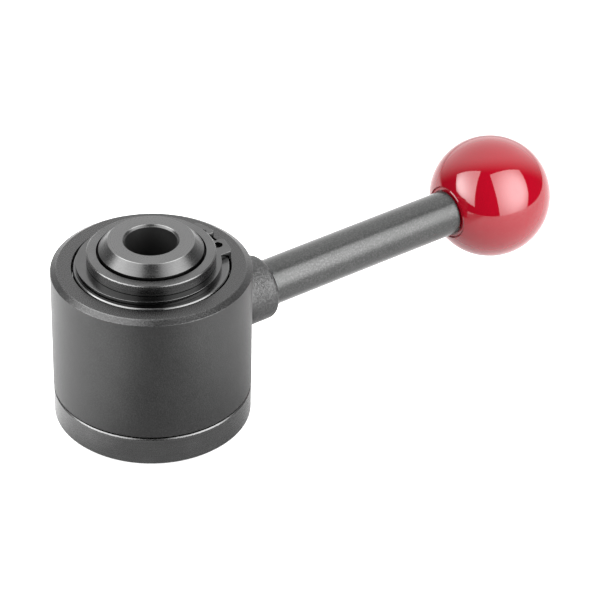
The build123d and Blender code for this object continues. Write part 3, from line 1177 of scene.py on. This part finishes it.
def relief_tree():
    """A tree that cuts a triangle wave into a blank turned about the lever."""
    tree = bpy.data.node_groups.new("cut_relief", "GeometryNodeTree")
    face = tree.interface
    face.new_socket("Geometry", in_out="INPUT", socket_type="NodeSocketGeometry")
    for name in ("Start", "End", "Depth", "Waves Around", "Lead", "Runout", "Axis Height"):
        face.new_socket(name, in_out="INPUT", socket_type="NodeSocketFloat")
    face.new_socket("Material", in_out="INPUT", socket_type="NodeSocketMaterial")
    face.new_socket("Geometry", in_out="OUTPUT", socket_type="NodeSocketGeometry")
    given = tree.nodes.new("NodeGroupInput").outputs
    position = add_node(tree, "GeometryNodeInputPosition").outputs[0]
    along = part_of(tree, position, "X")
    side = part_of(tree, position, "Y")
    rise = calculate(tree, "SUBTRACT", part_of(tree, position, "Z"), given["Axis Height"])
    side_squared = calculate(tree, "POWER", side, 2.0)
    rise_squared = calculate(tree, "POWER", rise, 2.0)
    out = calculate(tree, "SQRT", calculate(tree, "ADD", side_squared, rise_squared))
    left = calculate(tree, "SUBTRACT", out, wave_depth(tree, given, along, side, rise))
    share = calculate(tree, "DIVIDE", left, calculate(tree, "MAXIMUM", out, least_reach))
    new_side = calculate(tree, "MULTIPLY", side, share)
    new_rise = calculate(tree, "ADD", calculate(tree, "MULTIPLY", rise, share), given["Axis Height"])
    moved = add_node(tree, "ShaderNodeCombineXYZ", {"X": along, "Y": new_side, "Z": new_rise})
    core = calculate(tree, "MULTIPLY", given["Depth"], core_share)
    on_skin = calculate(tree, "GREATER_THAN", out, core)
    shaped = add_node(
        tree,
        "GeometryNodeSetPosition",
        {"Geometry": given["Geometry"], "Selection": on_skin, "Position": moved.outputs[0]},
    )
    whole = add_node(tree, "GeometryNodeRealizeInstances", {"Geometry": shaped.outputs[0]})
    finish = {"Geometry": whole.outputs[0], "Material": given["Material"]}
    painted = add_node(tree, "GeometryNodeSetMaterial", finish)
    add_node(tree, "NodeGroupOutput", {"Geometry": painted.outputs[0]})
    print("relief tree", len(tree.nodes), "nodes")
    return tree


cut_relief = relief_tree()

# %% [markdown]
# The tree runs as a modifier. Its inputs are set by the identifier of each socket, which stays
# when a name is changed, and the result is kept as a plain mesh, so nothing live is left on the
# piece.

# %% Run the tree on a blank
inputs_of_relief = {
    item.name: item.identifier
    for item in cut_relief.interface.items_tree
    if item.in_out == "INPUT"
}
print("inputs", ", ".join(inputs_of_relief))


def cut(piece, material, **sizes):
    """Runs the tree on a piece with these inputs and keeps the result as a plain mesh."""
    modifier = piece.modifiers.new("relief", "NODES")
    modifier.node_group = cut_relief
    for name, value in sizes.items():
        modifier[inputs_of_relief[name.replace("_", " ")]] = value
    modifier[inputs_of_relief["Material"]] = material
    depsgraph = bpy.context.evaluated_depsgraph_get()
    shaped = bpy.data.meshes.new_from_object(piece.evaluated_get(depsgraph))
    piece.modifiers.clear()
    piece.data = shaped


# %% [markdown]
# The rod screws into the boss at one end and into the ball's insert at the other. Its blank is
# lathed with close stations where a thread will be, because a wave needs points to move. The
# plain length between needs none.

# %% Blank of the lever rod
rod_shoulder = housing_high.x - 3.0
shoulder_edge = 0.2
boss_thread_radius = 5.0
boss_thread_pitch = 1.5
knob_thread_radius = 4.0
knob_thread_pitch = 1.25
dog_radius = 3.5
dog_root = cam_high.x
rod_edge = 0.4
dog_edge = 0.3
rod_around = 72
stations_per_pitch = 10


def even_stations(start, end, out, pitch):
    """Stations close enough together for a thread of that pitch."""
    count = max(2, round((end - start) / pitch * stations_per_pitch))
    return [(start + (end - start) * step / count, out) for step in range(count + 1)]


boss_thread_start = dog_root + boss_thread_radius - dog_radius
rod_profile = [
    (rod_low.x, 0),
    (rod_low.x, dog_radius - dog_edge),
    (rod_low.x + dog_edge, dog_radius),
    (dog_root, dog_radius),
]
rod_profile += even_stations(boss_thread_start, rod_shoulder, boss_thread_radius, boss_thread_pitch)
rod_profile += [
    (rod_shoulder, rod_radius - shoulder_edge),
    (rod_shoulder + shoulder_edge, rod_radius),
    (ball_low.x - rod_edge, rod_radius),
    (ball_low.x, rod_radius - rod_edge),
]
knob_thread_end = rod_high.x - rod_edge
rod_profile += even_stations(ball_low.x, knob_thread_end, knob_thread_radius, knob_thread_pitch)
rod_profile += [(rod_high.x, knob_thread_radius - rod_edge), (rod_high.x, 0)]
rod = lathe("lever_rod_threaded", rod_profile, rod_around)
keep_corners_sharp(rod)
print("rod blank", len(rod.data.polygons), "faces")

# %% [markdown]
# The depth of a metric thread is a fixed share of its pitch. Both threads are cut by the same
# tree, with one wave round that advances by the pitch, and each runs out over one pitch at its
# ends, as a die leaves it.

# %% Lever rod with its two threads
thread_depth_share = 0.613

for start, end, pitch in (
    (boss_thread_start, rod_shoulder, boss_thread_pitch),
    (ball_low.x, rod_high.x, knob_thread_pitch),
):
    cut(
        rod,
        rod_steel,
        Start=start * MM,
        End=end * MM,
        Depth=thread_depth_share * pitch * MM,
        Waves_Around=1.0,
        Lead=pitch * MM,
        Runout=pitch * MM,
        Axis_Height=lever_height * MM,
    )
belongs(rod, "lever_housing", "rod_steel", rod_steel, "lever_rod")
print("rod", len(rod.data.polygons), "faces")

# %% [markdown]
# The brass insert is what keeps the ball from spinning off: a knurl grips the plastic and a
# groove holds it lengthwise. The same tree cuts the knurl, with forty waves round and a lead so
# long that the ridges run straight.

# %% Brass insert with its knurl
knurl_ridges = 40
knurl_depth = 0.25
knurl_runout = 0.4
knurl_margin = 0.5
groove_margin = 0.2
straight_lead = 1000.0
insert_around = knurl_ridges * 4
insert_bore = knob_thread_radius
knurl_bands = (
    (insert_low.x + knurl_margin, insert_middle - insert_groove - groove_margin),
    (insert_middle + insert_groove + groove_margin, insert_high.x - knurl_margin),
)
insert_profile = [(insert_low.x, insert_bore), (insert_low.x, insert_radius)]
for start, end in knurl_bands:
    stations = (start, start + knurl_runout, end - knurl_runout, end)
    insert_profile += [(at, insert_radius) for at in stations]
    if start < insert_middle:
        insert_profile += [
            (insert_middle - insert_groove, insert_radius),
            (insert_middle, insert_radius - insert_groove),
            (insert_middle + insert_groove, insert_radius),
        ]
insert_profile += [(insert_high.x, insert_radius), (insert_high.x, insert_bore)]
insert = lathe("brass_insert", insert_profile, insert_around, closed=True)
keep_corners_sharp(insert)
for start, end in knurl_bands:
    cut(
        insert,
        brass,
        Start=start * MM,
        End=end * MM,
        Depth=knurl_depth * MM,
        Waves_Around=float(knurl_ridges),
        Lead=straight_lead,
        Runout=knurl_runout * MM,
        Axis_Height=lever_height * MM,
    )
belongs(insert, "lever_housing", "brass", brass, "knob_insert")
print("insert", len(insert.data.polygons), "faces")

# %% [markdown]
# The cam sleeve, its dowels and pins and the thrust washer are seen only when the clamp is taken
# apart. Their solids are true enough as they are, so they just get their finish in place of the
# plain one they came with.

# %% Finishes on the inner solids
for node, material in (
    ("thrust_washer", bronze),
    ("cam_sleeve", ground_steel),
    ("cam_dowel_1", ground_steel),
    ("cam_dowel_2", ground_steel),
    ("follower_pin_1", ground_steel),
    ("follower_pin_2", ground_steel),
):
    for material_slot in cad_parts[node].material_slots:
        material_slot.material = material
    print(node, "in", material.name)
